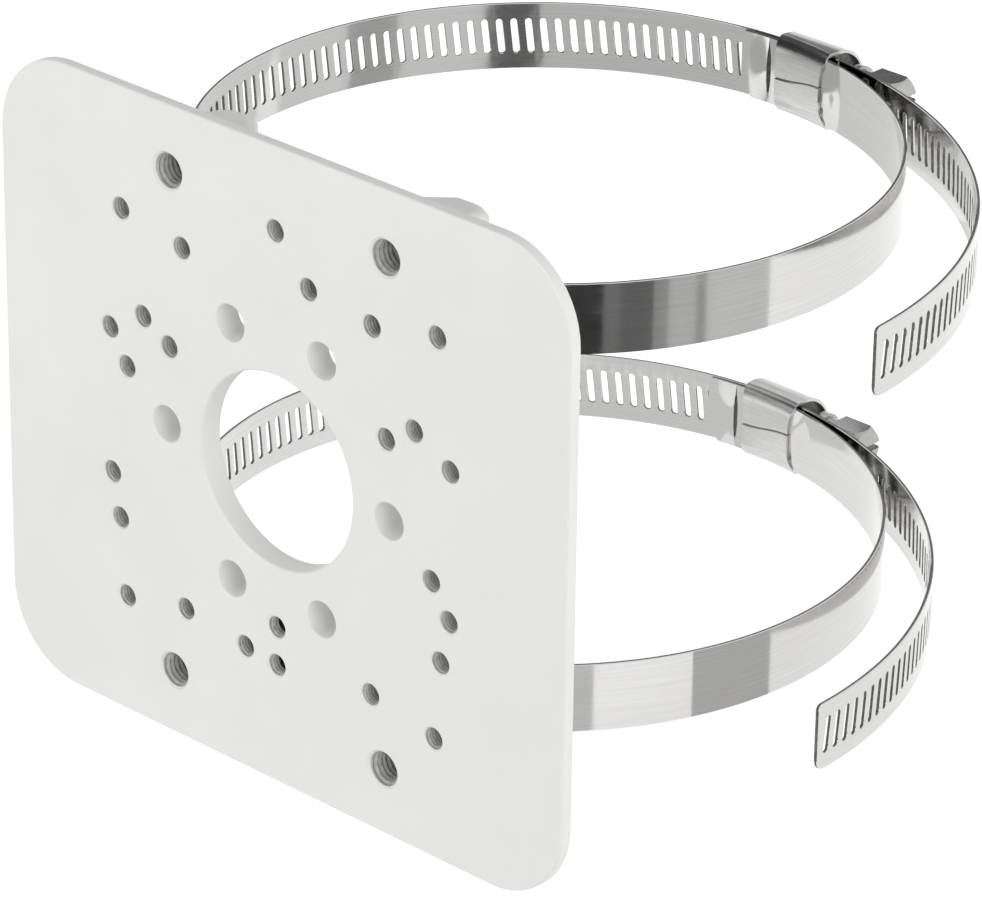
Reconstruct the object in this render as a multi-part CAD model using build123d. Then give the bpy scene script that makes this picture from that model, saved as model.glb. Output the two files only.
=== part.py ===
"""Camera pole mount bracket.

A die-cast mounting plate with four V-jaws on its back is held to a pole by two
perforated worm-drive bands. Each band runs through slots in the jaws, round the
pole and under the worm screw of its folded sheet housing, and leaves as a tail.

Frame: millimetres, origin on the cable hole's axis in the plate's front face,
+X to the right seen from the front, +Y back to the pole, +Z up.
"""
import os
from math import cos, pi, radians, sin, sqrt

from build123d import *

# plate
PLATE_W = 167.0
PLATE_H = 150.0
PLATE_T = 3.0
PLATE_CORNER_R = 20.0
PLATE_EDGE = 0.7
PAD_W = 116.0
PAD_H = 134.0
PAD_CORNER_R = 14.0
PAD_T = 3.0
THICK = PLATE_T + PAD_T
CABLE_HOLE_R = 22.5

# plain holes on a circle round the cable hole
PLAIN_R = 4.2
PLAIN_CIRCLE_R = 33.2
PLAIN_ANGLES = [0.0, 66.0, 114.0, 180.0, 246.0, 294.0]

# tapped holes are drawn at their core size
M8_CORE_R = 3.4
M8_X, M8_Z = 31.8, 59.6
M8_DEPTH = 12.0
M5_CORE_R = 2.1
M5_DEPTH = 6.5
SQUARE_HALF = 46.5
TALL_X, TALL_Z = 28.0, 43.0
WIDE_X, WIDE_Z = 50.5, 17.4
MIDDLE_CIRCLE_R, QUAD_ANGLE, MIDDLE_TRIO_ANGLE = 46.4, 78.0, 30.0
OUTER_TRIO_R, OUTER_TRIO_ANGLE = 55.7, 90.0
INNER_TRIO_R, INNER_TRIO_ANGLE = 37.2, 30.0
BREAK_INTO_SLOT = 0.3

# V-jaws: their 45 degree faces meet 4.8 mm in front of the plate
JAW_APEX = 4.8
JAW_REAR_Y = 25.0
JAW_OUTER_X = 40.0
JAW_CORNER_R = 4.0
JAW_TOP_EDGE = 1.2
JAW_Z_LOW, JAW_Z_HIGH = 33.8, 65.8
SLOT_PLAY_RADIAL = 1.0
SLOT_PLAY_SIDE = 0.5

# band, the same strip for both clamps
BAND_W = 16.0
BAND_T = 0.8
LOOP_R = 77.4
TONGUE_LENGTH = 18.0
CLOSING_START = 160.0
OVERLAP_GAP = 0.3
PERF_START = -151.0
PERF_PITCH = 3.4
PERF_W = 1.6
PERF_H = 8.6
PERF_END_MARGIN = 3.2
TAIL_CORNER_R = 2.5

# the two clamps: height, room between loop and front face, housing angle and screw tilt,
# then the tail: lead of its start on the housing, extra radius and last angle
CLAMPS = {
    "upper": dict(z=44.1, front_room=6.2, housing=84.2, tilt=6.0,
                  tail_lead=7.3, tail_spread=34.2, tail_end=3.3),
    "lower": dict(z=-44.1, front_room=4.8, housing=87.8, tilt=2.0,
                  tail_lead=-7.8, tail_spread=32.2, tail_end=0.6),
}

# housing
SHEET_T = 0.8
HOUSING_LENGTH = 16.0
HOUSING_SIDE_PLAY = 0.45
ARCH_BASE_N = LOOP_R + 2.6
SEAM_W = 0.35
WEB_T = 0.9
WEB_INSET = 1.2

# worm screw
SCREW_N = ARCH_BASE_N + 4.4
JOURNAL_PLAY = 0.05
WORM_R = 3.9
WORM_HALF_LENGTH = 5.5
JOURNAL_R = 3.1
TIP_OUT = 0.8
COLLAR_R, COLLAR_START, COLLAR_END = 5.1, 8.9, 11.4
NECK_R, NECK_END = 4.4, 14.6
HEX_FLATS, HEX_END = 10.0, 23.2
DRIVE_SLOT_W, DRIVE_SLOT_DEPTH = 1.6, 2.0


def slab(sketch, y_front, y_back):
    """Solid between two depths behind the plate's front face, from a sketch in X and Z."""
    return extrude(Plane.XZ.offset(-y_front) * sketch, -(y_back - y_front))


def bore(x, z, radius, depth, start=-1.0):
    """Cutter for a hole that runs back from the front face."""
    return Pos(x, (start + depth) / 2, z) * Rot(X=90) * Cylinder(radius, depth - start)


def on_circle(radius, first, count):
    """Centres of evenly spaced holes on a circle."""
    angles = [radians(first + 360.0 * i / count) for i in range(count)]
    return [(radius * cos(a), radius * sin(a)) for a in angles]


def corners(half_x, half_z):
    """Centres of the four holes of a rectangle."""
    return [(sx * half_x, sz * half_z) for sx in (-1, 1) for sz in (-1, 1)]


def small_hole_centres():
    """All the M5 patterns in the plate."""
    return (corners(SQUARE_HALF, SQUARE_HALF) + corners(TALL_X, TALL_Z) + corners(WIDE_X, WIDE_Z)
            + on_circle(MIDDLE_CIRCLE_R, QUAD_ANGLE, 4) + on_circle(MIDDLE_CIRCLE_R, MIDDLE_TRIO_ANGLE, 3)
            + on_circle(OUTER_TRIO_R, OUTER_TRIO_ANGLE, 3) + on_circle(INNER_TRIO_R, INNER_TRIO_ANGLE, 3))


def loop_y(clamp):
    """Distance of a band loop's axis behind the front face."""
    return LOOP_R + clamp["front_room"]


def small_hole_depth(x, z):
    """Depth of an M5 hole: right through, or just into the band slot where one lies behind it."""
    depth = M5_DEPTH
    slot_r = LOOP_R + BAND_T + SLOT_PLAY_RADIAL
    for clamp in CLAMPS.values():
        if abs(z - clamp["z"]) < BAND_W / 2 + SLOT_PLAY_SIDE + M5_CORE_R:
            slot_front = loop_y(clamp) - sqrt(slot_r ** 2 - (abs(x) + M5_CORE_R) ** 2)
            depth = min(depth, slot_front + BREAK_INTO_SLOT)
    return depth


def jaw(side, up):
    """One jaw: a wedge with a 45 degree face towards the pole."""
    root = PLATE_T + 1.0
    outline = [(root + JAW_APEX, root), (JAW_REAR_Y + JAW_APEX, JAW_REAR_Y),
               (JAW_OUTER_X, JAW_REAR_Y), (JAW_OUTER_X, root)]
    points = [(side * x, y) for x, y in outline]
    profile = make_face(Polyline(points, close=True))
    block = Pos(0, 0, JAW_Z_LOW) * extrude(profile, JAW_Z_HIGH - JAW_Z_LOW)
    rear_corner = block.edges().filter_by(Axis.Z).sort_by_distance((side * JAW_OUTER_X, JAW_REAR_Y, 47))[0]
    block = fillet(rear_corner, JAW_CORNER_R)
    top = block.edges().group_by(Axis.Z)[-1].filter_by(lambda e: e.center().Y > root + 0.5)
    block = chamfer(top, JAW_TOP_EDGE)
    return block if up > 0 else mirror(block, Plane.XY)


def band_channel(clamp):
    """Cutter for the curved slot that one band slides through."""
    ring = Cylinder(LOOP_R + BAND_T + SLOT_PLAY_RADIAL, BAND_W + 2 * SLOT_PLAY_SIDE)
    ring -= Cylinder(LOOP_R - SLOT_PLAY_RADIAL, BAND_W + 2 * SLOT_PLAY_SIDE)
    return Pos(0, loop_y(clamp), clamp["z"]) * ring


def mounting_plate():
    """Plate, thick back pad and the four jaws, with every hole and band slot."""
    face = slab(RectangleRounded(PLATE_W, PLATE_H, PLATE_CORNER_R), 0, PLATE_T)
    face = chamfer(face.edges().group_by(Axis.Y)[0], PLATE_EDGE)
    body = face + slab(RectangleRounded(PAD_W, PAD_H, PAD_CORNER_R), PLATE_T, THICK)
    body += [jaw(side, up) for side in (-1, 1) for up in (-1, 1)]
    body -= [band_channel(clamp) for clamp in CLAMPS.values()]
    cuts = [bore(0, 0, CABLE_HOLE_R, THICK + 1)]
    plain = [(PLAIN_CIRCLE_R * cos(radians(a)), PLAIN_CIRCLE_R * sin(radians(a))) for a in PLAIN_ANGLES]
    cuts += [bore(x, z, PLAIN_R, THICK + 1) for x, z in plain]
    cuts += [bore(x, z, M5_CORE_R, small_hole_depth(x, z)) for x, z in small_hole_centres()]
    cuts += [bore(x, z, M8_CORE_R, M8_DEPTH) for x, z in corners(M8_X, M8_Z)]
    return body - cuts


def polar(centre, radius, angle):
    """Point at an angle in degrees round a centre."""
    return (centre[0] + radius * cos(radians(angle)), centre[1] + radius * sin(radians(angle)))


def band_path(clamp):
    """The strip's three tangent arcs, each (centre, inner radius, start, end), clockwise from the tongue."""
    loop = (0.0, loop_y(clamp))
    tongue = clamp["housing"] + TONGUE_LENGTH / LOOP_R * 180 / pi
    growth = (BAND_T + OVERLAP_GAP) / (1 - cos(radians(CLOSING_START - tongue)))
    closing = polar(loop, -growth, CLOSING_START)
    closing_r = LOOP_R + growth
    tail_start, tail_r = clamp["housing"] + clamp["tail_lead"], LOOP_R + clamp["tail_spread"]
    tail = polar(closing, closing_r - tail_r, tail_start)
    return [(loop, LOOP_R, tongue, CLOSING_START - 360),
            (closing, closing_r, CLOSING_START, tail_start),
            (tail, tail_r, tail_start, clamp["tail_end"])]


def slot_places(path):
    """Centre and angle of every perforation, evenly spaced along the strip up to the tail's end."""
    lengths = []
    (_, r0, _, end0), (_, r1, start1, end1), (_, r2, start2, end2) = path
    mid = BAND_T / 2
    lengths.append((r0 + mid) * radians(PERF_START - end0))
    lengths.append((r1 + mid) * radians(start1 - end1))
    lengths.append((r2 + mid) * radians(start2 - end2))
    starts = [PERF_START, start1, start2]
    total = sum(lengths) - PERF_END_MARGIN
    count = int(total // PERF_PITCH) + 1
    places = []
    for i in range(count):
        run = total - PERF_PITCH * (count - 1 - i)
        leg = 0
        while leg < 2 and run > lengths[leg]:
            run -= lengths[leg]
            leg += 1
        centre, radius, _, _ = path[leg]
        places.append((centre, radius + mid, starts[leg] - run / (radius + mid) * 180 / pi))
    return places


def band(clamp):
    """One clamp's steel strip: plain tongue and loop, perforated side and tail."""
    path = band_path(clamp)
    inner, outer = [], []
    for centre, radius, start, end in path:
        for side, r in ((inner, radius), (outer, radius + BAND_T)):
            spots = [polar(centre, r, a) for a in (start, (start + end) / 2, end)]
            side.append(ThreePointArc(*spots))
    caps = [Line(inner[0] @ 0, outer[0] @ 0), Line(inner[-1] @ 1, outer[-1] @ 1)]
    strip = extrude(make_face(inner + outer + caps), BAND_W / 2, both=True)
    cutter = Box(PERF_W, 4 * BAND_T, PERF_H)
    cuts = [Pos(*polar(centre, radius, angle), 0) * Rot(Z=angle - 90) * cutter
            for centre, radius, angle in slot_places(path)]
    strip -= cuts
    end_point = (*polar(path[-1][0], path[-1][1], clamp["tail_end"]), 0)
    short = strip.edges().filter_by(lambda e: e.length < BAND_T * 1.1)
    at_rim = short.filter_by(lambda e: abs(abs(e.center().Z) - BAND_W / 2) < 0.01)
    strip = fillet(at_rim.sort_by_distance(end_point)[:2], TAIL_CORNER_R)
    return Pos(0, 0, clamp["z"]) * strip


def at_housing(shape, clamp):
    """Move a shape drawn round the loop's axis, with the housing on +Y, to its clamp."""
    return Pos(0, loop_y(clamp), clamp["z"]) * Rot(Z=clamp["housing"] - 90) * shape


def tilted(clamp):
    """Place things drawn along X on the line of the worm screw."""
    return Pos(0, ARCH_BASE_N, 0) * Rot(Z=clamp["tilt"])


def round_step(radius, start, end):
    """Round length drawn along X."""
    return Pos((start + end) / 2, 0, 0) * Rot(Y=90) * Cylinder(radius, end - start)


def arch_block(clamp, shrink, start, length):
    """Round block along the screw, drawn on +Y before it is moved to its clamp."""
    radius = BAND_W / 2 + HOUSING_SIDE_PLAY + SHEET_T
    return tilted(clamp) * round_step(radius - shrink, start, start + length)


def below_arch(shape):
    """Place a shape under the arch's base."""
    return Pos(0, ARCH_BASE_N, 0) * shape


def foot_block(length, width):
    """Block from the arch's base down past the sheet inside the loop."""
    return below_arch(Box(length, 10 * SHEET_T, width, align=(Align.CENTER, Align.MAX, Align.CENTER)))


def housing(clamp):
    """Folded sheet housing: curved plate inside the loop, arch over the worm, two bearing webs."""
    half = HOUSING_LENGTH / 2
    width = BAND_W + 2 * HOUSING_SIDE_PLAY
    outer = foot_block(HOUSING_LENGTH, width + 2 * SHEET_T) + arch_block(clamp, 0, -half, HOUSING_LENGTH)
    inner = foot_block(HOUSING_LENGTH + 4, width) + arch_block(clamp, SHEET_T, -half - 2, HOUSING_LENGTH + 4)
    shell = (outer - Cylinder(LOOP_R - SHEET_T, 2 * width)) - (inner - Cylinder(LOOP_R, 2 * width))
    shell -= Pos(0, LOOP_R, 0) * Box(HOUSING_LENGTH + 4, 4, SEAM_W)
    web_starts = (-half + WEB_INSET, half - WEB_INSET - WEB_T)
    webs = [arch_block(clamp, SHEET_T / 2, start, WEB_T) for start in web_starts]
    below = below_arch(Box(2 * width, width, 2 * width, align=(Align.CENTER, Align.MAX, Align.CENTER)))
    shell += [web - below for web in webs]
    shell -= tilted(clamp) * Pos(0, SCREW_N - ARCH_BASE_N, 0) * Rot(Y=90) * Cylinder(
        JOURNAL_R + JOURNAL_PLAY, HOUSING_LENGTH + 4)
    return at_housing(shell, clamp)


def worm_screw(clamp):
    """Worm, drawn at the size of its thread's crest, with journals, collar, neck and slotted hex head."""
    rod = round_step(JOURNAL_R, -HOUSING_LENGTH / 2 - TIP_OUT, COLLAR_START + 0.2)
    worm = round_step(WORM_R, -WORM_HALF_LENGTH, WORM_HALF_LENGTH)
    collar = round_step(COLLAR_R, COLLAR_START, COLLAR_END)
    neck = round_step(NECK_R, COLLAR_END, NECK_END)
    corner_r = HEX_FLATS / sqrt(3)
    head = extrude(Plane.YZ.offset(NECK_END) * RegularPolygon(corner_r, 6), HEX_END - NECK_END)
    head -= Pos(HEX_END, 0, 0) * Box(2 * DRIVE_SLOT_DEPTH, 3 * corner_r, DRIVE_SLOT_W)
    screw = rod + worm + collar + neck + head
    return at_housing(tilted(clamp) * Pos(0, SCREW_N - ARCH_BASE_N, 0) * screw, clamp)


os.makedirs("parts", exist_ok=True)
export_step(mounting_plate(), "parts/mounting_plate.step")
for name, clamp in CLAMPS.items():
    export_step(band(clamp), f"parts/{name}_band.step")
    export_step(housing(clamp), f"parts/{name}_housing.step")
    export_step(worm_screw(clamp), f"parts/{name}_worm_screw.step")
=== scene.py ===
from math import cos, pi, radians, sin, sqrt

import bmesh
import bpy
from mathutils import Matrix, Vector


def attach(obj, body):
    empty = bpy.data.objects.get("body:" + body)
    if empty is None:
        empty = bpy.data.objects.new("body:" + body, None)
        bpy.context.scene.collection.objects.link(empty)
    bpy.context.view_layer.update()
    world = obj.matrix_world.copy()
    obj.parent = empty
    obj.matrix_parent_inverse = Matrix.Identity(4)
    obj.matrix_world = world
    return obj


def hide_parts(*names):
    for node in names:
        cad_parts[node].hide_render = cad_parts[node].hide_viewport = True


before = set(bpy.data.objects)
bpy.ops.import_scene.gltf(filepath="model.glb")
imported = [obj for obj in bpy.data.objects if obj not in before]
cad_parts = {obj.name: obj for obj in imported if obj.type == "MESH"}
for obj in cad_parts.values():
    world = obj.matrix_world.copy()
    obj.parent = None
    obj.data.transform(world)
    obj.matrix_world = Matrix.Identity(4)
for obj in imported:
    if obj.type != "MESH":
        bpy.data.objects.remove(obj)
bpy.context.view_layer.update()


# ------------------------------------------------------------------ camera
# The bracket is seen from its front right and from above through a long lens,
# so its upright edges stay nearly parallel. The lens is centred on the picture.

azimuth, elevation, roll = radians(42.757), radians(26.082), radians(0.767)
right = Vector((cos(azimuth), sin(azimuth), 0))
ahead = Vector((-sin(azimuth) * cos(elevation), cos(azimuth) * cos(elevation), -sin(elevation)))
up = right.cross(ahead)
right, up = cos(roll) * right + sin(roll) * up, cos(roll) * up - sin(roll) * right
camera_data = bpy.data.cameras.new("camera")
camera_data.lens = 210.77
camera_data.sensor_width = 36
camera_data.clip_start, camera_data.clip_end = 0.05, 20
camera = bpy.data.objects.new("camera", camera_data)
bpy.context.collection.objects.link(camera)
off_right, off_up, off_ahead = -0.045625, -0.004994, 1.216792
place_of_camera = -(right * off_right + up * off_up + ahead * off_ahead)
turn = Matrix((right, up, -ahead)).transposed()
camera.matrix_world = Matrix.Translation(place_of_camera) @ turn.to_4x4()
bpy.context.scene.camera = camera


# ------------------------------------------------------------------ mounting plate
# One die casting: the flat plate, a thicker pad on its back and four V-jaws that
# grip the pole. Its holes and band slots are machined, then all is powder coated.

def skin(name, rings, closed=False, caps=True):
    """Mesh object over closed rings of points in millimetres, all with the same count."""
    count, rows = len(rings[0]), len(rings)
    faces = []
    for row in range(rows if closed else rows - 1):
        a, b = row * count, (row + 1) % rows * count
        faces += [(a + i, a + (i + 1) % count, b + (i + 1) % count, b + i) for i in range(count)]
    if caps and not closed:
        faces += [tuple(range(count))[::-1], tuple(range((rows - 1) * count, rows * count))]
    mesh = bpy.data.meshes.new(name)
    mesh.from_pydata([Vector(p) * 0.001 for ring in rings for p in ring], [], faces)
    tidy_mesh(mesh)
    piece = bpy.data.objects.new(name, mesh)
    bpy.context.collection.objects.link(piece)
    return piece


def tidy_mesh(mesh, gap=1e-6):
    """Weld the doubles and turn every face outwards."""
    bm = bmesh.new()
    bm.from_mesh(mesh)
    bmesh.ops.remove_doubles(bm, verts=bm.verts, dist=gap)
    bmesh.ops.recalc_face_normals(bm, faces=bm.faces)
    bm.to_mesh(mesh)
    bm.free()


def weld_into(piece, others):
    """Join other objects' meshes to a piece and delete them."""
    bm = bmesh.new()
    for source in [piece] + others:
        bm.from_mesh(source.data)
    bm.to_mesh(piece.data)
    bm.free()
    for other in others:
        bpy.data.objects.remove(other)
    return piece


def machined(piece, tool, operation):
    """Unite, cut or intersect a piece with a tool, then delete the tool."""
    cut = piece.modifiers.new("cut", "BOOLEAN")
    cut.operation, cut.solver, cut.object = operation, "EXACT", tool
    settle(piece)
    bpy.data.objects.remove(tool)
    return piece


def settle(piece):
    """Turn the piece's modifiers into plain mesh."""
    bpy.context.view_layer.update()
    seen = piece.evaluated_get(bpy.context.evaluated_depsgraph_get())
    mesh = bpy.data.meshes.new_from_object(seen)
    piece.modifiers.clear()
    piece.data = mesh
    return piece


def rounded(piece, width, segments=2, angle=40):
    """Round the sharp edges of a piece."""
    edge = piece.modifiers.new("edge", "BEVEL")
    edge.width, edge.segments, edge.angle_limit = width * 0.001, segments, radians(angle)
    edge.use_clamp_overlap = True
    return settle(piece)


def shaded(piece, angle=32):
    """Smooth shading that stays crisp at real edges and flat on large faces."""
    piece.data.shade_smooth()
    piece.data.set_sharp_from_angle(angle=radians(angle))
    flat = piece.modifiers.new("flat", "WEIGHTED_NORMAL")
    flat.keep_sharp = True
    return piece


def rounded_rectangle(width, height, radius, y):
    """Ring of points in X and Z at one depth."""
    ring = []
    for turn, (sx, sz) in enumerate(((1, 1), (-1, 1), (-1, -1), (1, -1))):
        for step in range(13):
            angle = radians(90 * turn + 7.5 * step)
            ring.append((sx * (width / 2 - radius) + radius * cos(angle), y,
                         sz * (height / 2 - radius) + radius * sin(angle)))
    return ring


def bore_tool(x, z, radius, depth, mouth, soft, through=False, segments=48):
    """Cutter turned from a profile: soft or chamfered mouth, bore, and drill point or second mouth."""
    steps = [90 * i / 5 for i in range(6)] if soft else [0, 90]
    front = [(radius + mouth - mouth * sin(radians(s)), mouth - mouth * cos(radians(s))) for s in steps]
    profile = [(radius + mouth + 1.5, -1)] + front
    if through:
        profile += [(r, depth - y) for r, y in reversed(front)] + [(radius + mouth + 1.5, depth + 1)]
    else:
        profile += [(radius, depth), (0.02, depth + 0.5 * radius)]
    rings = [[(x + r * cos(2 * pi * i / segments), y, z + r * sin(2 * pi * i / segments))
              for i in range(segments)] for r, y in profile]
    return skin("tool", rings)


def on_circle(radius, angles):
    """Hole centres on a circle round the cable hole."""
    return [(radius * cos(radians(a)), radius * sin(radians(a))) for a in angles]


def corners(half_x, half_z):
    """Hole centres of a rectangle."""
    return [(sx * half_x, sz * half_z) for sx in (-1, 1) for sz in (-1, 1)]


plate_w, plate_h, plate_t, plate_corner, plate_edge = 167, 150, 3, 20, 0.5
pad_w, pad_h, pad_back, pad_corner, pad_edge = 116, 134, 6, 14, 0.6
jaw_inner, jaw_outer, jaw_root, jaw_back, jaw_side, jaw_corner = 33.8, 65.8, 4, 25, 40, 4.4
v_bottom, v_top = 8.8, 29.8
plain_r, m5_r, m8_r, cable_r = 4.2, 2.5, 4.0, 22.5
m5_core_r, m5_depth, m8_depth = 2.1, 6.5, 12
slot_inner_r, slot_outer_r, slot_half_h = 76.4, 79.2, 8.5

plain_holes = on_circle(33.2, (0, 66, 114, 180, 246, 294))
large_taps = corners(31.8, 59.6)
small_taps = (corners(46.5, 46.5) + corners(28.0, 43.0) + corners(50.5, 17.4)
              + on_circle(46.4, (78, 168, 258, 348, 30, 150, 270)) + on_circle(55.7, (90, 210, 330))
              + on_circle(37.2, (30, 150, 270)))
slot_heights = {"upper": (44.1, 83.6), "lower": (-44.1, 82.2)}


def tap_depth(x, z):
    """Small taps end where they break into a band slot."""
    for height, centre in slot_heights.values():
        if abs(z - height) < slot_half_h + m5_core_r:
            reach = centre - sqrt(slot_outer_r ** 2 - (abs(x) + m5_core_r) ** 2)
            if reach < m5_depth:
                return reach + 0.3
    return m5_depth


def boss_top(x, z):
    """Back of the boss round a plain hole, lower at the two upper ones."""
    return 6.9 if abs(x) < 20 and z > 0 else 7.9


edge = [(plate_edge * (1 - sin(radians(a))), plate_edge * (1 - cos(radians(a)))) for a in range(0, 91, 18)]
rings = [rounded_rectangle(plate_w - 2 * i, plate_h - 2 * i, plate_corner - i, y) for i, y in edge]
rings += [rounded_rectangle(plate_w - 2 * i, plate_h - 2 * i, plate_corner - i, plate_t - y)
          for i, y in reversed(edge) if y < plate_edge]
edge = [(pad_edge * (1 - cos(radians(a))), pad_edge * (1 - sin(radians(a)))) for a in (0, 30, 60, 90)]
rings += [rounded_rectangle(pad_w, pad_h, pad_corner, plate_t)]
rings += [rounded_rectangle(pad_w - 2 * i, pad_h - 2 * i, pad_corner - i, pad_back - y) for i, y in edge]
plate_casting = skin("plate_casting", rings)
corner = [(jaw_side - jaw_corner + jaw_corner * sin(radians(a)),
           jaw_back - jaw_corner + jaw_corner * cos(radians(a))) for a in range(0, 91, 10)]
for side in (-1, 1):
    for inner, outer in ((jaw_inner, jaw_outer), (-jaw_inner, -jaw_outer)):
        jaw_h = outer - inner
        rings = []
        for inset, z in ((0.8, inner), (0, inner + jaw_h * 0.03), (0, outer - jaw_h * 0.07),
                         (0.7, outer - jaw_h * 0.025), (2.4, outer)):
            foot = [(v_bottom, jaw_root), (v_top + 0.41 * inset, jaw_back - inset)]
            foot += [(x - inset, y - inset) for x, y in corner] + [(jaw_side - inset, jaw_root)]
            rings.append([(side * x, y, z) for x, y in foot])
        machined(plate_casting, rounded(skin("jaw", rings), 0.6, 2, 35), "UNION")
for x, z in plain_holes:
    boss = [(7.4, 5), (7.2, boss_top(x, z) - 0.3), (6.8, boss_top(x, z))]
    rings = [[(x + r * cos(pi * i / 24), y, z + r * sin(pi * i / 24)) for i in range(48)] for r, y in boss]
    machined(plate_casting, skin("boss", rings), "UNION")
for height, centre in slot_heights.values():
    section = [(slot_inner_r, -slot_half_h), (slot_outer_r, -slot_half_h),
               (slot_outer_r, slot_half_h), (slot_inner_r, slot_half_h)]
    ring_cutter = skin("tool", [[(r * cos(pi * i / 128), centre + r * sin(pi * i / 128), height + z)
                                 for r, z in section] for i in range(256)], closed=True)
    machined(plate_casting, ring_cutter, "DIFFERENCE")
tools = [bore_tool(x, z, plain_r, boss_top(x, z), 0.4, True, True) for x, z in plain_holes]
tools += [bore_tool(x, z, m5_r, tap_depth(x, z), 0.35, False) for x, z in small_taps]
tools += [bore_tool(x, z, m8_r, m8_depth, 0.5, False) for x, z in large_taps]
cable_tool = bore_tool(0, 0, cable_r, pad_back, 0.6, True, True, 128)
machined(plate_casting, weld_into(cable_tool, tools), "DIFFERENCE")


def finish_material(name, colour, metallic, roughness, specular=0.5):
    """New material; returns it with its nodes, its links and its shader."""
    material = bpy.data.materials.new(name)
    material.use_nodes = True
    nodes, links = material.node_tree.nodes, material.node_tree.links
    shader = nodes["Principled BSDF"]
    shader.inputs["Base Color"].default_value = (*colour, 1)
    shader.inputs["Metallic"].default_value = metallic
    shader.inputs["Roughness"].default_value = roughness
    shader.inputs["Specular IOR Level"].default_value = specular
    return material, nodes, links, shader


def noise(nodes, links, vector, scale, detail=2.0, rough=0.5):
    """Noise texture on the given coordinates."""
    texture = nodes.new("ShaderNodeTexNoise")
    texture.inputs["Scale"].default_value = scale
    texture.inputs["Detail"].default_value = detail
    texture.inputs["Roughness"].default_value = rough
    links.new(vector, texture.inputs["Vector"])
    return texture.outputs["Fac"]


def between(nodes, links, value, low, high, from_low=0.3, from_high=0.7):
    """Spread a value over a new range."""
    spread = nodes.new("ShaderNodeMapRange")
    spread.inputs["From Min"].default_value, spread.inputs["From Max"].default_value = from_low, from_high
    spread.inputs["To Min"].default_value, spread.inputs["To Max"].default_value = low, high
    links.new(value, spread.inputs["Value"])
    return spread.outputs["Result"]


def tint(nodes, links, value, dark, light):
    """Colour between two colours."""
    mix = nodes.new("ShaderNodeMix")
    mix.data_type = "RGBA"
    mix.inputs["A"].default_value, mix.inputs["B"].default_value = (*dark, 1), (*light, 1)
    links.new(value, mix.inputs["Factor"])
    return mix.outputs["Result"]


def raised(nodes, links, height, distance, strength, under=None):
    """Bump from a height, in metres."""
    bump = nodes.new("ShaderNodeBump")
    bump.inputs["Distance"].default_value = distance
    bump.inputs["Strength"].default_value = strength
    links.new(height, bump.inputs["Height"])
    if under:
        links.new(under, bump.inputs["Normal"])
    return bump.outputs["Normal"]


powder_coat, nodes, links, shader = finish_material("powder_coat", (0.80, 0.80, 0.78), 0, 0.42)
where = nodes.new("ShaderNodeTexCoord").outputs["Object"]
cloud = noise(nodes, links, where, 35, 3)
links.new(tint(nodes, links, between(nodes, links, cloud, 0, 1),
               (0.795, 0.797, 0.775), (0.825, 0.825, 0.808)), shader.inputs["Base Color"])
links.new(between(nodes, links, cloud, 0.38, 0.46), shader.inputs["Roughness"])
peel = raised(nodes, links, noise(nodes, links, where, 850, 2), 0.00005, 0.25)
waves = noise(nodes, links, where, 260, 1)
links.new(raised(nodes, links, waves, 0.0001, 0.12, peel), shader.inputs["Normal"])

plate_casting.data.materials.clear()
plate_casting.data.materials.append(powder_coat)
shaded(plate_casting)
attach(plate_casting, "bracket")
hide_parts("mounting_plate")


# ------------------------------------------------------------------ tapped threads
# The M5 and M8 holes are tapped after casting, so their threads are clean metal
# under a thin coat. One thread is cut for each depth and set in every like hole.

def thread_insert(name, major, core, pitch, length, start, segments):
    """Closed sleeve whose inside is the screw thread, with its outside hidden in the casting."""
    rows = int((length - start) / pitch * 8)
    valley, outside = major - 0.02, major + 0.08
    rings = []
    for row in range(rows + 1):
        y = start + (length - start) * row / rows
        run_out = min(1, (y - start) / (0.8 * pitch))
        ring = []
        for i in range(segments):
            phase = (y / pitch + i / segments) % 1
            tooth = max(0, min(1, 2.6 * abs(phase - 0.5) - 0.15)) * run_out
            r = valley - (valley - core) * tooth
            ring.append((r * cos(2 * pi * i / segments), y, r * sin(2 * pi * i / segments)))
        rings.append(ring)
    for y in (length, start):
        rings.append([(outside * cos(2 * pi * i / segments), y, outside * sin(2 * pi * i / segments))
                      for i in range(segments)])
    return skin(name, rings, closed=True)


def node_tree(name, inputs):
    """Geometry node tree with named inputs and one geometry output."""
    tree = bpy.data.node_groups.new(name, "GeometryNodeTree")
    for label, kind, value in inputs:
        socket = tree.interface.new_socket(label, in_out="INPUT", socket_type=kind)
        if value is not None:
            socket.default_value = value
    tree.interface.new_socket("Geometry", in_out="OUTPUT", socket_type="NodeSocketGeometry")
    return tree, tree.nodes.new("NodeGroupInput").outputs, tree.nodes.new("NodeGroupOutput").inputs


def made_by(tree, piece, values):
    """Run a tree on a piece with its inputs set by name, and keep the result as plain mesh."""
    modifier = piece.modifiers.new(tree.name, "NODES")
    modifier.node_group = tree
    for socket in tree.interface.items_tree:
        if socket.item_type == "SOCKET" and socket.in_out == "INPUT" and socket.name in values:
            modifier[socket.identifier] = values[socket.name]
    return settle(piece)


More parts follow.
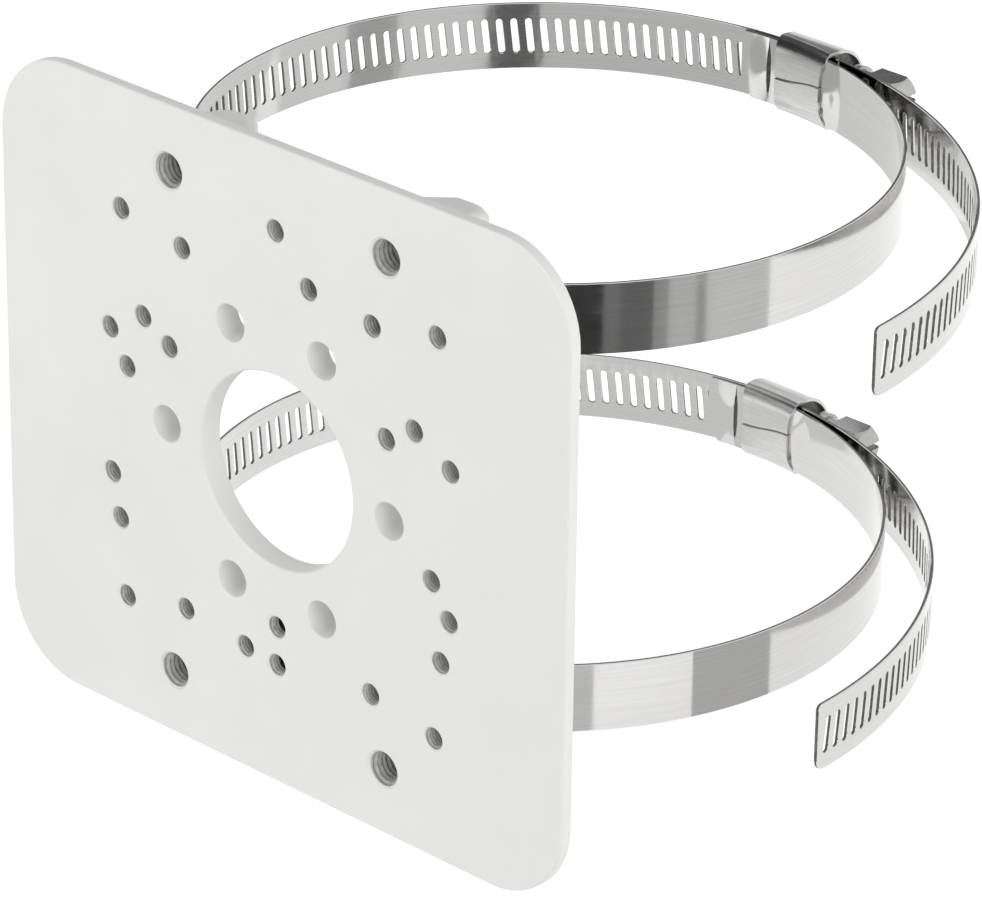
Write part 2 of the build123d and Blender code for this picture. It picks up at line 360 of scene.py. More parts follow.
tapping, given, made = node_tree("tapping", [
    ("Hole centres", "NodeSocketGeometry", None), ("Thread", "NodeSocketObject", None),
    ("Start seed", "NodeSocketInt", 3), ("Metal", "NodeSocketMaterial", None)])
source = tapping.nodes.new("GeometryNodeObjectInfo")
start_angle = tapping.nodes.new("FunctionNodeRandomValue")
start_angle.inputs["Max"].default_value = 2 * pi
turned = tapping.nodes.new("ShaderNodeCombineXYZ")
copies = tapping.nodes.new("GeometryNodeInstanceOnPoints")
real = tapping.nodes.new("GeometryNodeRealizeInstances")
finish = tapping.nodes.new("GeometryNodeSetMaterial")
for a, b in ((given["Thread"], source.inputs["Object"]), (given["Hole centres"], copies.inputs["Points"]),
             (given["Start seed"], start_angle.inputs["Seed"]),
             (start_angle.outputs["Value"], turned.inputs["Y"]),
             (source.outputs["Geometry"], copies.inputs["Instance"]),
             (turned.outputs["Vector"], copies.inputs["Rotation"]),
             (copies.outputs["Instances"], real.inputs["Geometry"]),
             (real.outputs["Geometry"], finish.inputs["Geometry"]),
             (given["Metal"], finish.inputs["Material"]), (finish.outputs["Geometry"], made["Geometry"])):
    tapping.links.new(a, b)

tapped_metal, nodes, links, shader = finish_material("tapped_metal", (0.50, 0.50, 0.49), 0.25, 0.36)
where = nodes.new("ShaderNodeTexCoord").outputs["Object"]
links.new(tint(nodes, links, between(nodes, links, noise(nodes, links, where, 900, 3), 0, 1),
               (0.42, 0.42, 0.41), (0.58, 0.58, 0.57)), shader.inputs["Base Color"])
links.new(between(nodes, links, noise(nodes, links, where, 2500, 2), 0.3, 0.5), shader.inputs["Roughness"])

deep = [p for p in small_taps if tap_depth(*p) > 6]
short = [p for p in small_taps if tap_depth(*p) <= 6]
for name, holes, size in (("tapped_threads_m5", deep, (m5_r, 2.12, 0.8, 6.45, 0.35, 28)),
                          ("tapped_threads_m5_short", short, (m5_r, 2.12, 0.8, 3.2, 0.35, 28)),
                          ("tapped_threads_m8", large_taps, (m8_r, 3.42, 1.25, 11.9, 0.5, 36))):
    thread = thread_insert("one_thread", *size)
    spots = bpy.data.meshes.new(name)
    spots.from_pydata([(x * 0.001, 0, z * 0.001) for x, z in holes], [], [])
    threads = bpy.data.objects.new(name, spots)
    bpy.context.collection.objects.link(threads)
    made_by(tapping, threads, {"Thread": thread, "Start seed": 3, "Metal": tapped_metal})
    bpy.data.objects.remove(thread)
    threads.data.shade_smooth()
    threads.data.set_sharp_from_angle(angle=radians(50))
    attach(threads, "bracket")


# ------------------------------------------------------------------ bands
# Each band is one stainless strip, slit to width and brushed along its length.
# A press punches the slanted slots that the worm climbs, from half way to the tail.

BAND_T, LOOP_R, PITCH = 0.8, 77.4, 3.4
TONGUE_L, END_MARGIN = 18, 3.2
LEAVES_LOOP_AT, SLOTS_FROM = 160, -151
half_t, half_w, bevel = BAND_T / 2, 8.0, 0.14
clamps = {
    "upper": dict(z=44.1, loop_y=83.6, housing=84.2, tilt=6.0,
                  tail_start=91.5, tail_r=111.6, tail_end=3.3),
    "lower": dict(z=-44.1, loop_y=82.2, housing=87.8, tilt=2.0,
                  tail_start=80.0, tail_r=109.6, tail_end=0.6),
}


def polar(centre, radius, angle):
    """Point at an angle in degrees round a centre."""
    return centre[0] + radius * cos(radians(angle)), centre[1] + radius * sin(radians(angle))


def strip_arcs(clamp):
    """Three tangent arcs from tongue to tail: centre, mid-line radius, first and last angle."""
    loop = (0.0, clamp["loop_y"])
    tongue = clamp["housing"] + TONGUE_L / LOOP_R * 180 / pi
    growth = (BAND_T + 0.3) / (1 - cos(radians(LEAVES_LOOP_AT - tongue)))
    closing = polar(loop, -growth, LEAVES_LOOP_AT)
    tail = polar(closing, LOOP_R + growth - clamp["tail_r"], clamp["tail_start"])
    return [(loop, LOOP_R + half_t, tongue, LEAVES_LOOP_AT - 360),
            (closing, LOOP_R + growth + half_t, LEAVES_LOOP_AT, clamp["tail_start"]),
            (tail, clamp["tail_r"] + half_t, clamp["tail_start"], clamp["tail_end"])]


def strip_length(arcs):
    """Length of the strip along its mid-line."""
    return sum(radius * radians(first - last) for _, radius, first, last in arcs)


def bent(arcs, run, depth, z):
    """Flat strip to round strip: run along it, depth outwards, z up, all in millimetres."""
    for centre, radius, first, last in arcs:
        length = radius * radians(first - last)
        if run <= length or (centre, radius) == arcs[-1][:2]:
            x, y = polar(centre, radius + depth, first - run / radius * 180 / pi)
            return x, y, z
        run -= length


levels = [-half_w + bevel, -5.3, -2.6, 0, 2.6, 5.3, half_w - bevel]
section = ([(half_t, z) for z in levels] + [(half_t - bevel, half_w), (bevel - half_t, half_w)]
           + [(-half_t, z) for z in reversed(levels)]
           + [(bevel - half_t, -half_w), (half_t - bevel, -half_w)])


def slot_rim(grow, depth):
    """Rim of one slanted slot, 16 points that face the 16 points round its cell."""
    r, straight, slant = 0.8 + grow, 3.5, radians(6.5)
    turns = [(-50, -1), (-15, -1), (0, -0.5), (0, 0), (0, 0.5), (15, 1), (50, 1), (90, 1)]
    rim = [(r * cos(radians(a)), s * straight + r * sin(radians(a))) for a, s in turns]
    rim += [(-p, -q) for p, q in rim]
    return [(p * cos(slant) - q * sin(slant), depth, p * sin(slant) + q * cos(slant)) for p, q in rim]


def cell_border(depth):
    """The 16 points round one cell of the strip."""
    half = [(PITCH / 2, depth, z) for z in levels] + [(0, depth, levels[-1])]
    return half + [(-x, d, -z) for x, d, z in half]


cell_rings = [cell_border(half_t), slot_rim(0.1, half_t), slot_rim(0, half_t - 0.1),
              slot_rim(0, 0.1 - half_t), slot_rim(0.1, -half_t), cell_border(-half_t)]
cell = skin("strip_cell", cell_rings, caps=False)
bm = bmesh.new()
bm.from_mesh(cell.data)
for sign in (-1, 1):
    rim = [(half_t, levels[-1]), (half_t - bevel, half_w), (bevel - half_t, half_w), (-half_t, levels[-1])]
    grid = [[bm.verts.new((x * 0.001, d * 0.001, sign * z * 0.001)) for x in (-PITCH / 2, 0, PITCH / 2)]
            for d, z in rim]
    for a, b in zip(grid, grid[1:]):
        for i in (0, 1):
            bm.faces.new((a[i], a[i + 1], b[i + 1], b[i]))
bmesh.ops.remove_doubles(bm, verts=bm.verts, dist=1e-6)
bmesh.ops.recalc_face_normals(bm, faces=bm.faces)
bm.to_mesh(cell.data)
bm.free()

punching, given, made = node_tree("punching", [
    ("Strip", "NodeSocketGeometry", None), ("Cell", "NodeSocketObject", None),
    ("Slots", "NodeSocketInt", 100), ("First slot", "NodeSocketFloat", 0.2),
    ("Pitch", "NodeSocketFloat", 0.0034), ("Metal", "NodeSocketMaterial", None)])
row = punching.nodes.new("GeometryNodeMeshLine")
first_spot = punching.nodes.new("ShaderNodeCombineXYZ")
step = punching.nodes.new("ShaderNodeCombineXYZ")
source = punching.nodes.new("GeometryNodeObjectInfo")
copies = punching.nodes.new("GeometryNodeInstanceOnPoints")
real = punching.nodes.new("GeometryNodeRealizeInstances")
join = punching.nodes.new("GeometryNodeJoinGeometry")
weld = punching.nodes.new("GeometryNodeMergeByDistance")
weld.inputs["Distance"].default_value = 0.00001
finish = punching.nodes.new("GeometryNodeSetMaterial")
for a, b in ((given["Slots"], row.inputs["Count"]), (given["First slot"], first_spot.inputs["X"]),
             (given["Pitch"], step.inputs["X"]),
             (first_spot.outputs["Vector"], row.inputs["Start Location"]),
             (step.outputs["Vector"], row.inputs["Offset"]), (row.outputs["Mesh"], copies.inputs["Points"]),
             (given["Cell"], source.inputs["Object"]),
             (source.outputs["Geometry"], copies.inputs["Instance"]),
             (copies.outputs["Instances"], real.inputs["Geometry"]),
             (given["Strip"], join.inputs["Geometry"]), (real.outputs["Geometry"], join.inputs["Geometry"]),
             (join.outputs["Geometry"], weld.inputs["Geometry"]),
             (weld.outputs["Geometry"], finish.inputs["Geometry"]),
             (given["Metal"], finish.inputs["Material"]), (finish.outputs["Geometry"], made["Geometry"])):
    punching.links.new(a, b)


def value_group(name, inputs, outputs):
    """Shader node group that puts out values."""
    group = bpy.data.node_groups.new(name, "ShaderNodeTree")
    for label, kind, value in inputs:
        socket = group.interface.new_socket(label, in_out="INPUT", socket_type=kind)
        if value is not None:
            socket.default_value = value
    for label in outputs:
        group.interface.new_socket(label, in_out="OUTPUT", socket_type="NodeSocketFloat")
    return (group, group.nodes, group.links, group.nodes.new("NodeGroupInput").outputs,
            group.nodes.new("NodeGroupOutput").inputs)


# Brushing: long fine scratches along the first coordinate, as the abrasive belt leaves them.
brushing, nodes, links, given, made = value_group(
    "brushing", [("Along", "NodeSocketVector", None), ("Stretch", "NodeSocketFloat", 60.0)],
    ["Streaks", "Broad"])
split = nodes.new("ShaderNodeSeparateXYZ")
shorten = nodes.new("ShaderNodeMath")
shorten.operation = "DIVIDE"
joined = nodes.new("ShaderNodeCombineXYZ")
for a, b in ((given["Along"], split.inputs["Vector"]), (split.outputs["X"], shorten.inputs[0]),
             (given["Stretch"], shorten.inputs[1]), (shorten.outputs["Value"], joined.inputs["X"]),
             (split.outputs["Y"], joined.inputs["Y"]), (split.outputs["Z"], joined.inputs["Z"])):
    links.new(a, b)
links.new(noise(nodes, links, joined.outputs["Vector"], 7000, 3, 0.6), made["Streaks"])
links.new(noise(nodes, links, joined.outputs["Vector"], 2200, 3, 0.6), made["Broad"])

# Handling: faint smudges and a few fine rubs from fitting and packing.
handling, nodes, links, given, made = value_group(
    "handling", [("Where", "NodeSocketVector", None), ("Size", "NodeSocketFloat", 90.0)], ["Smudge", "Rub"])
smudge = nodes.new("ShaderNodeTexNoise")
smudge.inputs["Detail"].default_value = 4
links.new(given["Where"], smudge.inputs["Vector"])
links.new(given["Size"], smudge.inputs["Scale"])
links.new(between(nodes, links, smudge.outputs["Fac"], 0, 1, 0.4, 0.65), made["Smudge"])
specks = noise(nodes, links, given["Where"], 700, 5, 0.7)
links.new(between(nodes, links, specks, 0, 1, 0.62, 0.75), made["Rub"])


def steel(name, dark, light, roughness, coordinates, stretch, bump):
    """Brushed or bright steel: streaks in colour and bump, smudges and rubs in roughness."""
    material, nodes, links, shader = finish_material(name, light, 1, roughness)
    spots = nodes.new("ShaderNodeTexCoord").outputs
    belt, marks = nodes.new("ShaderNodeGroup"), nodes.new("ShaderNodeGroup")
    belt.node_tree, marks.node_tree = brushing, handling
    belt.inputs["Stretch"].default_value = stretch
    links.new(spots[coordinates], belt.inputs["Along"])
    links.new(spots["Object"], marks.inputs["Where"])
    links.new(tint(nodes, links, between(nodes, links, belt.outputs["Broad"], 0, 1), dark, light),
              shader.inputs["Base Color"])
    sum_up = nodes.new("ShaderNodeMath")
    sum_up.operation = "MULTIPLY_ADD"
    sum_up.inputs[1].default_value = 0.04
    links.new(marks.outputs["Smudge"], sum_up.inputs[0])
    links.new(between(nodes, links, belt.outputs["Streaks"], roughness - 0.02, roughness + 0.03),
              sum_up.inputs[2])
    rubbed = nodes.new("ShaderNodeMath")
    rubbed.operation = "MULTIPLY_ADD"
    rubbed.inputs[1].default_value = 0.08
    links.new(marks.outputs["Rub"], rubbed.inputs[0])
    links.new(sum_up.outputs["Value"], rubbed.inputs[2])
    links.new(rubbed.outputs["Value"], shader.inputs["Roughness"])
    links.new(raised(nodes, links, belt.outputs["Streaks"], 0.00002, bump), shader.inputs["Normal"])
    return material


band_steel = steel("band_steel", (0.60, 0.595, 0.585), (0.665, 0.66, 0.65), 0.07, "UV", 70, 0.05)

# Sheared: the walls of the punched slots and the slit edges, dull and dark where the metal tore. The same
# dark colour is also painted shade on the worm webs and along the lanced step of each tongue.
sheared_steel_and_painted_shade, nodes, links, shader = finish_material("sheared_steel_and_painted_shade", (0.13, 0.13, 0.125), 0.6, 0.4)
where = nodes.new("ShaderNodeTexCoord").outputs["Object"]
links.new(tint(nodes, links, between(nodes, links, noise(nodes, links, where, 1500, 3), 0, 1),
               (0.08, 0.08, 0.078), (0.20, 0.195, 0.19)), shader.inputs["Base Color"])


def corner_limits(run, length):
    """Lowest and highest z near the strip's two ends, where the corners are cut."""
    low, high = -half_w, half_w
    back = length - run
    if back < 2.5:
        low += 2.5 - sqrt(max(0, 2.5 ** 2 - (2.5 - back) ** 2))
    if back < 1.2:
        high -= 1.2 - sqrt(max(0, 1.2 ** 2 - (1.2 - back) ** 2))
    if run < 3:
        low += 3 - run
    if run < 1:
        high -= 1 - sqrt(max(0, 1 - (1 - run) ** 2))
    return low, high


def crimp(run, z):
    """Pillows pressed in towards the pole on both sides of the housing, to hold it in place."""
    first_start, first_l, last_end, last_l, deepest, half_h = 1.5, 6.2, 31.8, 5.8, 0.75, 6.6
    left, right = (run - first_start) / first_l, (last_end - run) / last_l
    swell = left if 0 < left <= 1 else right if 0 < right <= 1 else 0
    return -deepest * sin(pi / 2 * swell) ** 2 * max(0, 1 - (abs(z) / half_h) ** 3)


def strip_rings(runs):
    """Cross-sections of the flat strip at several places along it."""
    return [[(run, depth, z) for depth, z in section] for run in runs]


for name, clamp in clamps.items():
    arcs = strip_arcs(clamp)
    length = strip_length(arcs)
    plain = arcs[0][1] * radians(arcs[0][2] - SLOTS_FROM)
    slots = int((length - END_MARGIN - plain) // PITCH) + 1
    first = length - END_MARGIN - PITCH * (slots - 1)
    # The sections lie close together where the strip is pressed, up to 34 mm from its start.
    tongue_runs = [0, 0.15, 0.4, 0.8] + [0.4 * i for i in range(3, 20)] + [7.7, 7.8, 8.4, 9]
    plain_runs = [11 + 2 * i for i in range(7)] + [24.4, 25.2, 25.9, 26]
    plain_runs += [26.5 + 0.5 * i for i in range(12)]
    plain_runs += [34 + (first - PITCH / 2 - 34) * i / 120 for i in range(121)]
    end = length - END_MARGIN + PITCH / 2
    end_runs = [end + (length - end) * f for f in (0, 0.2, 0.4, 0.6, 0.75, 0.87, 0.95, 1)]
    strip = skin(f"{name}_strip", strip_rings(tongue_runs + plain_runs))
    tail_tip = skin("tip", strip_rings(end_runs))
    weld_into(strip, [tail_tip])
    made_by(punching, strip, {"Cell": cell, "Slots": slots, "First slot": first * 0.001,
                              "Pitch": PITCH * 0.001, "Metal": band_steel})
    bm = bmesh.new()
    bm.from_mesh(strip.data)
    inside = [face for face in bm.faces
              if len(face.verts) > 4 and 0.001 < face.calc_center_median().x < (length - 0.5) * 0.001]
    bmesh.ops.delete(bm, geom=inside, context="FACES_ONLY")
    uv = bm.loops.layers.uv.new("along_strip")
    for face in bm.faces:
        middle = face.calc_center_median() * 1000
        # Painted shade: a thin band of the inner side at the lanced step takes the dark sheared colour,
        # drawn as a dark line where the cut is.
        painted_cut_shade = 7.65 < middle.x < 7.85 and abs(middle.z) < 5 and middle.y < 0
        face.normal_update()
        face.material_index = 1 if abs(face.normal.y) < 0.6 or painted_cut_shade else 0
        for corner in face.loops:
            corner[uv].uv = (corner.vert.co.x, corner.vert.co.z + 0.5 * corner.vert.co.y)
    for vert in bm.verts:
        run, depth, z = (c * 1000 for c in vert.co)
        low, high = corner_limits(run, length)
        if z > high - 0.6:
            z = high - (half_w - z) if z > half_w - 0.3 else min(z, high - 0.3)
        if z < low + 0.6:
            z = low + (half_w + z) if z < 0.3 - half_w else max(z, low + 0.3)
        vert.co = Vector(bent(arcs, run, depth + crimp(run, z), z + clamp["z"])) * 0.001
    bmesh.ops.recalc_face_normals(bm, faces=bm.faces)
    strip.data.materials.clear()
    strip.data.materials.append(band_steel)
    strip.data.materials.append(sheared_steel_and_painted_shade)
    bm.to_mesh(strip.data)
    bm.free()
    strip.data.shade_smooth()
    strip.data.set_sharp_from_angle(angle=radians(28))
    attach(strip, f"{name}_clamp")
    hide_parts(f"{name}_band")
bpy.data.objects.remove(cell)


# ------------------------------------------------------------------ housings
# A housing is one blank of steel sheet folded round the strip: its two edges meet
# in a curved seam inside the loop, and its back is pressed into the worm's arch.

SHEET_T, ARCH_BASE, HOUSING_L = 0.8, 80.0, 16
WEB_R, WEB_T, BEARING_R, SCREW_N = 8.7, 0.9, 3.15, 84.4
housing_steel = steel("housing_steel", (0.56, 0.555, 0.55), (0.66, 0.655, 0.645), 0.2, "UV", 12, 0.12)


def at_housing(clamp, t, n, z):
    """Along the screw, outwards and up, to the bracket's own frame."""
    angle = radians(clamp["housing"] - 90)
    return (t * cos(angle) - n * sin(angle), clamp["loop_y"] + t * sin(angle) + n * cos(angle),
            z + clamp["z"])


def tilted(clamp, t, n):
    """Turn a place on the arch or the screw to the screw's own line."""
    angle = radians(clamp["tilt"])
    return (t * cos(angle) - (n - ARCH_BASE) * sin(angle),
            ARCH_BASE + t * sin(angle) + (n - ARCH_BASE) * cos(angle))


def sheet_profile():
    """Half the folded section from the seam to the arch's top: n, z, outward n, outward z."""
    half, middle = 8.85, LOOP_R - SHEET_T / 2
    deep, high = 2.0, 3.6
    points = [(middle, z, -1, 0) for z in (0.18, 1.5, 2.8, 4.1, half - high)]
    for step in range(1, 9):
        a = radians(11.25 * step)
        lean_n, lean_z = cos(a) / deep, sin(a) / high
        size = sqrt(lean_n ** 2 + lean_z ** 2)
        points.append((middle + deep * (1 - cos(a)), half - high * (1 - sin(a)),
                       -lean_n / size, lean_z / size))
    points.append((ARCH_BASE, half, 0, 1))
    for step in range(1, 13):
        a = radians(7.5 * step)
        points.append((ARCH_BASE + half * sin(a), half * cos(a), sin(a), cos(a)))
    return points


for name, clamp in clamps.items():
    half_profile = sheet_profile()
    profile = half_profile + [(n, -z, dn, -dz) for n, z, dn, dz in reversed(half_profile[:-1])]
    columns = 20
    rows = []
    for column in range(columns + 1):
        outer, inner = [], []
        for n, z, dn, dz in profile:
            flat = n < LOOP_R
            scallop = 1.9 * max(0, 1 - (z / 7.2) ** 4) if flat else 0
            t = -HOUSING_L / 2 + (HOUSING_L - scallop) * column / columns
            sag = LOOP_R - sqrt(LOOP_R ** 2 - t * t)
            lean = 0.9 * sin(pi * t / 14) * max(0, 1 - abs(z) / 6.5) if flat else 0
            for depth, ring in ((0.5 * SHEET_T, outer), (-0.5 * SHEET_T, inner)):
                here_n, here_z = n + dn * depth, z + dz * depth + lean
                along, out = (t, here_n - sag) if n < ARCH_BASE else tilted(clamp, t, here_n)
                ring.append(at_housing(clamp, along, out, here_z))
        rows.append(outer + inner[::-1])
    housing = skin(f"{name}_folded_housing", rows, caps=False)
    bm = bmesh.new()
    bm.from_mesh(housing.data)
    bm.verts.ensure_lookup_table()
    count = len(profile)
    for start, turn_over in ((0, True), (len(rows) - 1, False)):
        base = start * 2 * count
        for i in range(count - 1):
            quad = [bm.verts[base + i], bm.verts[base + i + 1],
                    bm.verts[base + 2 * count - 2 - i], bm.verts[base + 2 * count - 1 - i]]
            bm.faces.new(quad[::-1] if turn_over else quad)
    bmesh.ops.recalc_face_normals(bm, faces=bm.faces)
    bm.to_mesh(housing.data)
    bm.free()
    rounded(housing, 0.12, 1, 50)
    webs = []
    for low_t in (-6.8, 5.9):
        outline = [(ARCH_BASE + WEB_R * sin(radians(a)), WEB_R * cos(radians(a))) for a in range(0, 181, 9)]
        outline += [(ARCH_BASE, -WEB_R + 2 * WEB_R * i / 20) for i in range(1, 20)]
        hub = [(SCREW_N + BEARING_R * sin(2 * pi * i / len(outline)),
                BEARING_R * cos(2 * pi * i / len(outline))) for i in range(len(outline))]
        rings = []
        for loop, t in ((outline, low_t), (outline, low_t + WEB_T), (hub, low_t + WEB_T), (hub, low_t)):
            rings.append([at_housing(clamp, *tilted(clamp, t, n), z) for n, z in loop])
        webs.append(skin("web", rings, closed=True))
    # The webs take the dark sheared colour all over: painted shade that stands for the dark hollow inside
    # the arch.
    for web in webs:
        web.data.materials.append(housing_steel)
        web.data.materials.append(sheared_steel_and_painted_shade)
        for face in web.data.polygons:
            face.material_index = 1
    weld_into(housing, webs)
    uv = housing.data.uv_layers.new(name="along_sheet")
    for corner in housing.data.loops:
        place = housing.data.vertices[corner.vertex_index].co
        uv.data[corner.index].uv = (place.x, place.z + 0.7 * place.y)
    housing.data.materials.append(housing_steel)
    housing.data.materials.append(sheared_steel_and_painted_shade)
    shaded(housing, 35)
    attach(housing, f"{name}_clamp")
    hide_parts(f"{name}_housing")


# ------------------------------------------------------------------ worm screws
# A worm screw is turned and thread-rolled from one bar, bright plated: the worm
# between its bearings, a collar, a neck and a slotted hexagon head for the driver.

WORM_R, TOOTH_H, WORM_L, HEAD_W = 3.1, 0.8, 11, 10
screw_steel = steel("screw_steel", (0.37, 0.37, 0.365), (0.47, 0.465, 0.46), 0.17, "Object", 1, 0.08)


def turned_bar(clamp):
    """Worm, journals, collar and neck as rings along the screw."""
    outline = [(-8.8, 2.6), (-8.5, WORM_R)]
    outline += [(-WORM_L / 2 + WORM_L * i / 88, None) for i in range(89)]
    outline += [(8.4, WORM_R), (8.9, WORM_R), (8.9, 4.7), (9.2, 5.1), (11.1, 5.1), (11.4, 4.8),
                (11.4, 4.4), (14.9, 4.4)]
    rings = []
    for t, radius in outline:
        ring = []
        for i in range(48):
            r = radius
            if r is None:
                phase = (t / PITCH - i / 48) % 1
                tooth = max(0, min(1, 2.4 * (0.5 - abs(phase - 0.5)) - 0.1 if phase > 0 else 0))
                r = WORM_R + TOOTH_H * tooth * min(1, (WORM_L / 2 - abs(t)) / 0.9)
            ring.append((t, SCREW_N + r * cos(2 * pi * i / 48), r * sin(2 * pi * i / 48)))
        rings.append(ring)
    return rings


for name, clamp in clamps.items():
    def at_screw(ring):
        return [at_housing(clamp, *tilted(clamp, t, n), z) for t, n, z in ring]

    bar = skin(f"{name}_plated_screw", [at_screw(ring) for ring in turned_bar(clamp)])
    corner_r = HEAD_W / sqrt(3)
    hexagon = [(corner_r * cos(radians(60 * i)), corner_r * sin(radians(60 * i))) for i in range(6)]
    head = skin("head", [at_screw([(t, SCREW_N + n, z) for n, z in hexagon]) for t in (14.6, 23.2)])
    cone = [(14.0, 5.2), (15.1, 6.2), (21.2, 6.4), (23.2, 4.75), (24, 4.2)]
    turning = skin("tool", [at_screw([(t, SCREW_N + r * cos(pi * i / 36), r * sin(pi * i / 36))
                                      for i in range(72)]) for t, r in cone])
    machined(head, turning, "INTERSECT")
    groove = [(SCREW_N - 8, -0.8), (SCREW_N + 8, -0.8), (SCREW_N + 8, 0.8), (SCREW_N - 8, 0.8)]
    slot_tool = skin("tool", [at_screw([(t, n, z) for n, z in groove]) for t in (21.2, 25)])
    machined(head, slot_tool, "DIFFERENCE")
    rounded(head, 0.16, 2, 25)
    weld_into(bar, [head])
    bar.data.materials.clear()
    bar.data.materials.append(screw_steel)
    shaded(bar, 30)
    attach(bar, f"{name}_screw")
    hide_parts(f"{name}_worm_screw")


# ------------------------------------------------------------------ studio
# A plain pale floor under a white surround, with large soft lamps at the right, at the
# front left and behind. Metal mirrors the surround, the cards and the flags, not the lamps.

def seen_directly(nodes, links):
    """One for camera, glossy and transmission rays, nought for the rays that light the scene."""
    rays = nodes.new("ShaderNodeLightPath").outputs
    total = rays["Is Camera Ray"]
    for other in ("Is Glossy Ray", "Is Transmission Ray"):
        larger = nodes.new("ShaderNodeMath")
        larger.operation = "MAXIMUM"
        links.new(total, larger.inputs[0])
        links.new(rays[other], larger.inputs[1])
        total = larger.outputs["Value"]
    return total


world = bpy.data.worlds.new("studio")
world.use_nodes = True
bpy.context.scene.world = world
nodes, links = world.node_tree.nodes, world.node_tree.links
surround = nodes["Background"]
links.new(tint(nodes, links, seen_directly(nodes, links), (0.35, 0.35, 0.35), (1, 1, 1)),
          surround.inputs["Color"])
surround.inputs["Strength"].default_value = 1

floor_size, floor_z = 3, -0.0752
floor_mesh = bpy.data.meshes.new("floor")
floor_mesh.from_pydata([(-floor_size, -floor_size, floor_z), (floor_size, -floor_size, floor_z),
                        (floor_size, floor_size, floor_z), (-floor_size, floor_size, floor_z)],
                       [], [(0, 1, 2, 3)])
floor = bpy.data.objects.new("floor", floor_mesh)
bpy.context.collection.objects.link(floor)
floor_paint, nodes, links, shader = finish_material("floor_paint", (0.86, 0.86, 0.86), 0, 0.8, 0.1)
shader.inputs["Emission Color"].default_value = (1, 1, 1, 1)
glow = between(nodes, links, seen_directly(nodes, links), 0, 0.60, 0, 1)
links.new(glow, shader.inputs["Emission Strength"])
floor_mesh.materials.append(floor_paint)

for name, place, size, power in (("key", (1.7, -0.45, 0.6), 1.3, 19),
                                 ("fill", (-0.8, -1.0, 0.55), 0.9, 9.3),
                                 ("back", (0.9, 1.3, 0.5), 1.0, 3.5)):
    lamp_data = bpy.data.lights.new(name, "AREA")
    lamp_data.size, lamp_data.energy = size, power
    lamp = bpy.data.objects.new(name, lamp_data)
    aim = Vector((0, 0.08, 0)) - Vector(place)
    lamp.matrix_world = Matrix.Translation(place) @ aim.to_track_quat("-Z", "Y").to_matrix().to_4x4()
    lamp.visible_glossy = False
    bpy.context.collection.objects.link(lamp)


def hang_reflection_card(name, points, faces, grey):
    """Glowing grey card that only mirrored rays see, a painted reflection; camera rays, diffuse light and
    shadows pass it by.
    """
    card_mesh = bpy.data.meshes.new(name)
    card_mesh.from_pydata(points, [], faces)
    card = bpy.data.objects.new(name, card_mesh)
    bpy.context.collection.objects.link(card)
    card_paint, nodes, links, shader = finish_material(name, (0, 0, 0), 0, 0.9, 0)
    shader.inputs["Emission Color"].default_value = (grey, grey, grey, 1)
    shader.inputs["Emission Strength"].default_value = 1
    card_mesh.materials.append(card_paint)
    card.visible_camera = card.visible_diffuse = card.visible_shadow = False


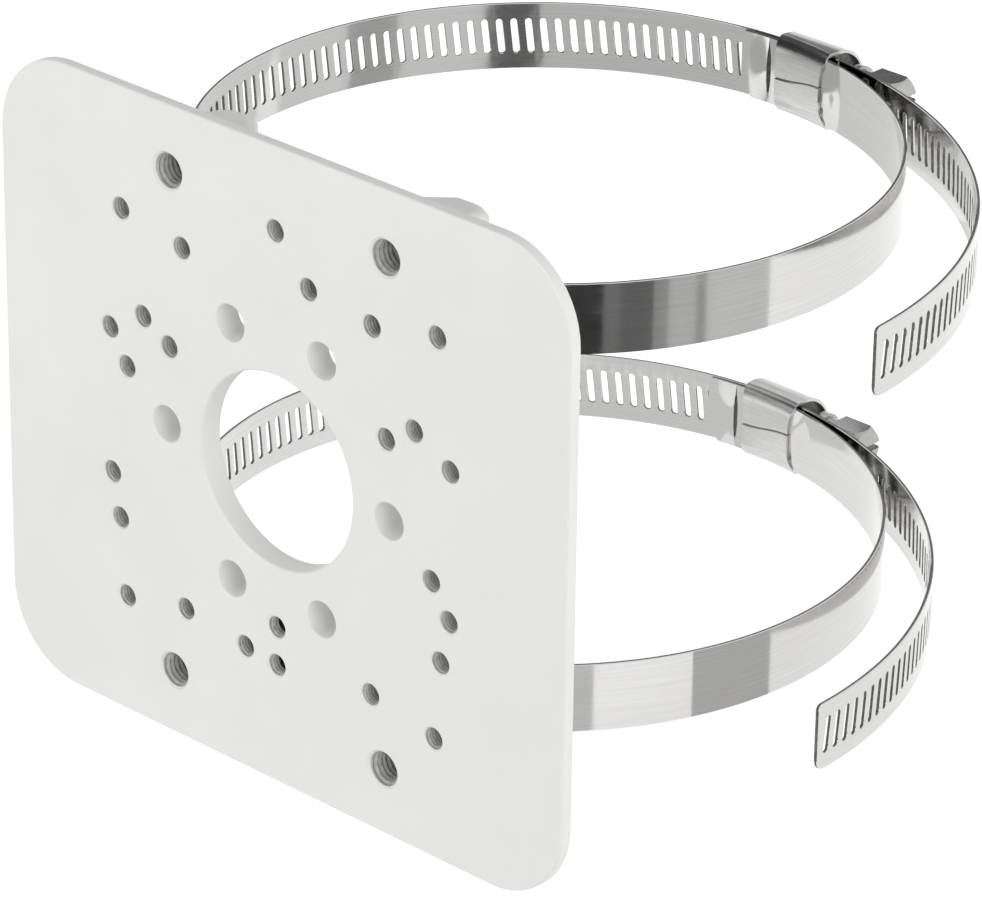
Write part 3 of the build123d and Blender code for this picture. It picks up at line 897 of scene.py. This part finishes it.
# Glowing grey cards lie and hang where the bands mirror them and paint the bands' reflections strip by
# strip, each in its own grey.
# Angles run along a band's outer (1) or inner (-1) side, low and high are over its width in mm.
# A card lies at its level, or stands 18 mm in front of the band where it has none.
card_steps, standing_at = 8, 0.018
for name, clamp, side, first, last, low, high, level, grey in (
        ("near_a", "upper", 1, -64, -38.8, -25, 25, -75, 0.037),
        ("near_b", "upper", 1, -38.8, -36.2, -25, 25, -75, 0.20),
        ("near_c", "upper", 1, -36.2, -31, -25, 25, -75, 0.155),
        ("near_d", "upper", 1, -31, -28.6, -25, 25, -75, 0.36),
        ("near_e", "upper", 1, -28.6, -24, -25, 25, -75, 0.60),
        ("near_f", "upper", 1, -24, -22.4, -25, 25, -75, 0.38),
        ("near_g", "upper", 1, -22.4, -11, -25, 25, -75, 0.74),
        ("near_h", "lower", 1, -46, -38.3, -11, 11, -75, 0.72),
        ("near_i", "lower", 1, -22, -7.2, -30, 9, None, 0.58),
        ("far_a", "upper", -1, 134.9, 92, -16, 16, 0, 0.66),
        ("far_b", "upper", -1, 143.2, 134.9, -16, 16, 0, 0.15),
        ("far_c", "upper", -1, 158.8, 143.2, -16, 16, 0, 0.80),
        ("far_d", "upper", -1, 168.3, 158.8, -16, 16, 0, 0.48),
        ("far_e", "upper", -1, 184, 168.3, -16, 16, 0, 0.85),
        ("far_f", "lower", -1, 128, 92, -9, 11, -58, 0.82),
        ("far_g", "upper", -1, 92, 77, 0.3, 450, 0, 0.56),
        ("far_h", "upper", -1, 77, 40, -14, 14, 0, 0.86)):
    band = clamps[clamp]
    reach = LOOP_R + BAND_T if side > 0 else LOOP_R
    near_line, far_line = [], []
    for step in range(card_steps + 1):
        angle = radians(first + (last - first) * step / card_steps)
        out = Vector((cos(angle), sin(angle), 0))
        for z, line in ((band["z"] + low, near_line), (band["z"] + high, far_line)):
            z = z if level is None else max(z, level)
            start = Vector((reach * out.x, band["loop_y"] + reach * out.y, z)) * 0.001
            seen = (start - place_of_camera).normalized()
            mirrored = seen - 2 * seen.dot(out) * out
            run = standing_at if level is None else (start.z - level * 0.001) / -mirrored.z
            line.append(start + mirrored * run)
    next_line = card_steps + 1
    hang_reflection_card(name, near_line + far_line,
              [(i, i + 1, i + 1 + next_line, i + next_line) for i in range(card_steps)], grey)

# Dark glowing flags hang high at the front left, overhead and behind, seen only in reflections: they paint
# dark reflections on the folds and the bolt facets that look up there.
for name, middle, across, along, grey in (
        ("front_flag", (-0.92, -0.87, 0.66), (0.52, -0.54, 0), (0.155, 0.149, 0.583), 0.03),
        ("top_flag", (-0.80, 0.17, 0.95), (0, 0.62, 0), (0.23, 0, 0.195), 0.05),
        ("back_flag", (-0.79, 1.03, 0.60), (0.17, 0.13, 0), (-0.07, 0.09, -0.20), 0.16)):
    middle, across, along = Vector(middle), Vector(across), Vector(along)
    hang_reflection_card(name, [middle + a * across + b * along for a, b in ((-1, -1), (1, -1), (1, 1), (-1, 1))],
              [(0, 1, 2, 3)], grey)

bpy.context.scene.view_settings.view_transform = "Standard"
